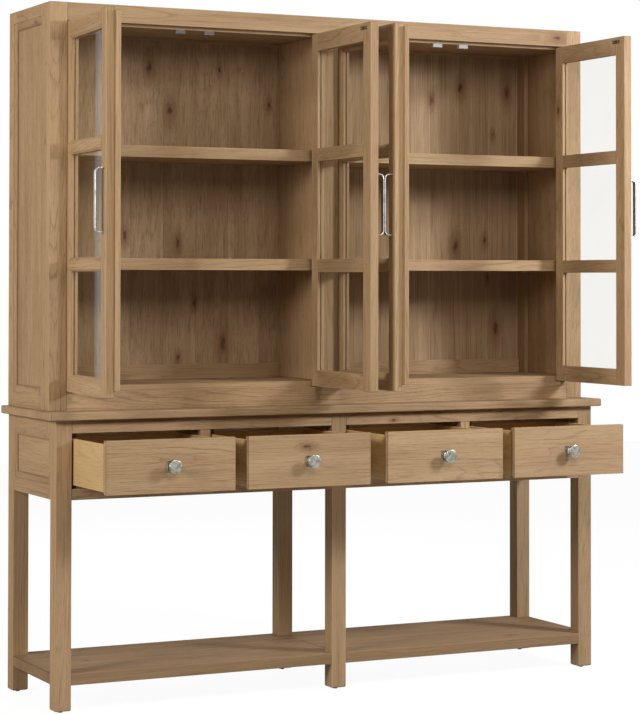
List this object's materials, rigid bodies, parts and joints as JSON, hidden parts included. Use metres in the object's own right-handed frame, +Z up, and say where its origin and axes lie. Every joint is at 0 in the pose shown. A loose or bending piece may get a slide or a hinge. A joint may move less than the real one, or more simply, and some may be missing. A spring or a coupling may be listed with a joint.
{
  "type": "display sideboard",
  "caption": "Oak display sideboard: glazed four-door hutch with two shelves on a four-drawer console with square legs and a bottom shelf.",
  "frame": {"origin": "on the floor, under the middle of the front centre leg", "axes": "+X to the right as seen from the front, front towards -Y, +Z up"},
  "size_m": [2, 0.8196, 2.2025],
  "materials": {
    "oak": "satin",
    "pale_oak": "matte",
    "glass": "clear",
    "aged_silver": "aged",
    "glide": "matte"
  },
  "bodies": {
    "cabinet": {"console_legs": "oak", "leg_glides": "glide", "console_top": "oak", "console_front_rails": "oak", "drawer_dividers": "oak", "rear_aprons": "oak", "side_apron_frames": "oak", "side_apron_panels": "oak", "drawer_runners": "pale_oak", "bottom_shelf": "oak", "hutch_face_stiles": "oak", "hutch_face_rails": "oak", "hutch_side_stiles": "oak", "hutch_side_rails": "oak", "hutch_side_panels": "oak", "hutch_bottom_board": "oak", "hutch_top_board": "oak", "door_stops": "oak", "hutch_partition": "oak", "hutch_back_panels": "oak", "hutch_back_rails": "oak", "hutch_shelves": "oak", "cabinet_fittings": "aged_silver"},
    "door_1": {"door_1_stiles": "oak", "door_1_rails": "oak", "door_1_glass": "glass", "door_1_handle": "aged_silver", "door_1_fittings": "aged_silver"},
    "door_2": {"door_2_stiles": "oak", "door_2_rails": "oak", "door_2_glass": "glass", "door_2_handle": "aged_silver", "door_2_fittings": "aged_silver"},
    "door_3": {"door_3_stiles": "oak", "door_3_rails": "oak", "door_3_glass": "glass", "door_3_handle": "aged_silver", "door_3_fittings": "aged_silver"},
    "door_4": {"door_4_stiles": "oak", "door_4_rails": "oak", "door_4_glass": "glass", "door_4_handle": "aged_silver", "door_4_fittings": "aged_silver"},
    "drawer_1": {"drawer_1_front": "oak", "drawer_1_box": "pale_oak", "drawer_1_bottom": "pale_oak", "drawer_1_knob": "aged_silver"},
    "drawer_2": {"drawer_2_front": "oak", "drawer_2_box": "pale_oak", "drawer_2_bottom": "pale_oak", "drawer_2_knob": "aged_silver"},
    "drawer_3": {"drawer_3_front": "oak", "drawer_3_box": "pale_oak", "drawer_3_bottom": "pale_oak", "drawer_3_knob": "aged_silver"},
    "drawer_4": {"drawer_4_front": "oak", "drawer_4_box": "pale_oak", "drawer_4_bottom": "pale_oak", "drawer_4_knob": "aged_silver"}
  },
  "joints": [
    {"name": "door_1_hinge", "type": "hinge", "parent": "cabinet", "child": "door_1", "pos_m": [-0.902, 0.054, 1.5645], "axis": [0, 0, -1], "range_deg": [-94, 0]},
    {"name": "door_2_hinge", "type": "hinge", "parent": "cabinet", "child": "door_2", "pos_m": [-0.044, 0.054, 1.5645], "axis": [0, 0, 1], "range_deg": [-89, 0]},
    {"name": "door_3_hinge", "type": "hinge", "parent": "cabinet", "child": "door_3", "pos_m": [0.044, 0.054, 1.5645], "axis": [0, 0, -1], "range_deg": [-91.1, 0]},
    {"name": "door_4_hinge", "type": "hinge", "parent": "cabinet", "child": "door_4", "pos_m": [0.902, 0.054, 1.5645], "axis": [0, 0, 1], "range_deg": [-89.1, 4.3]},
    {"name": "drawer_1_slide", "type": "slide", "parent": "cabinet", "child": "drawer_1", "axis": [0, -1, 0], "range_m": [-0.283, 0.05]},
    {"name": "drawer_2_slide", "type": "slide", "parent": "cabinet", "child": "drawer_2", "axis": [0, -1, 0], "range_m": [-0.283, 0.05]},
    {"name": "drawer_3_slide", "type": "slide", "parent": "cabinet", "child": "drawer_3", "axis": [0, -1, 0], "range_m": [-0.283, 0.05]},
    {"name": "drawer_4_slide", "type": "slide", "parent": "cabinet", "child": "drawer_4", "axis": [0, -1, 0], "range_m": [-0.283, 0.05]}
  ]
}
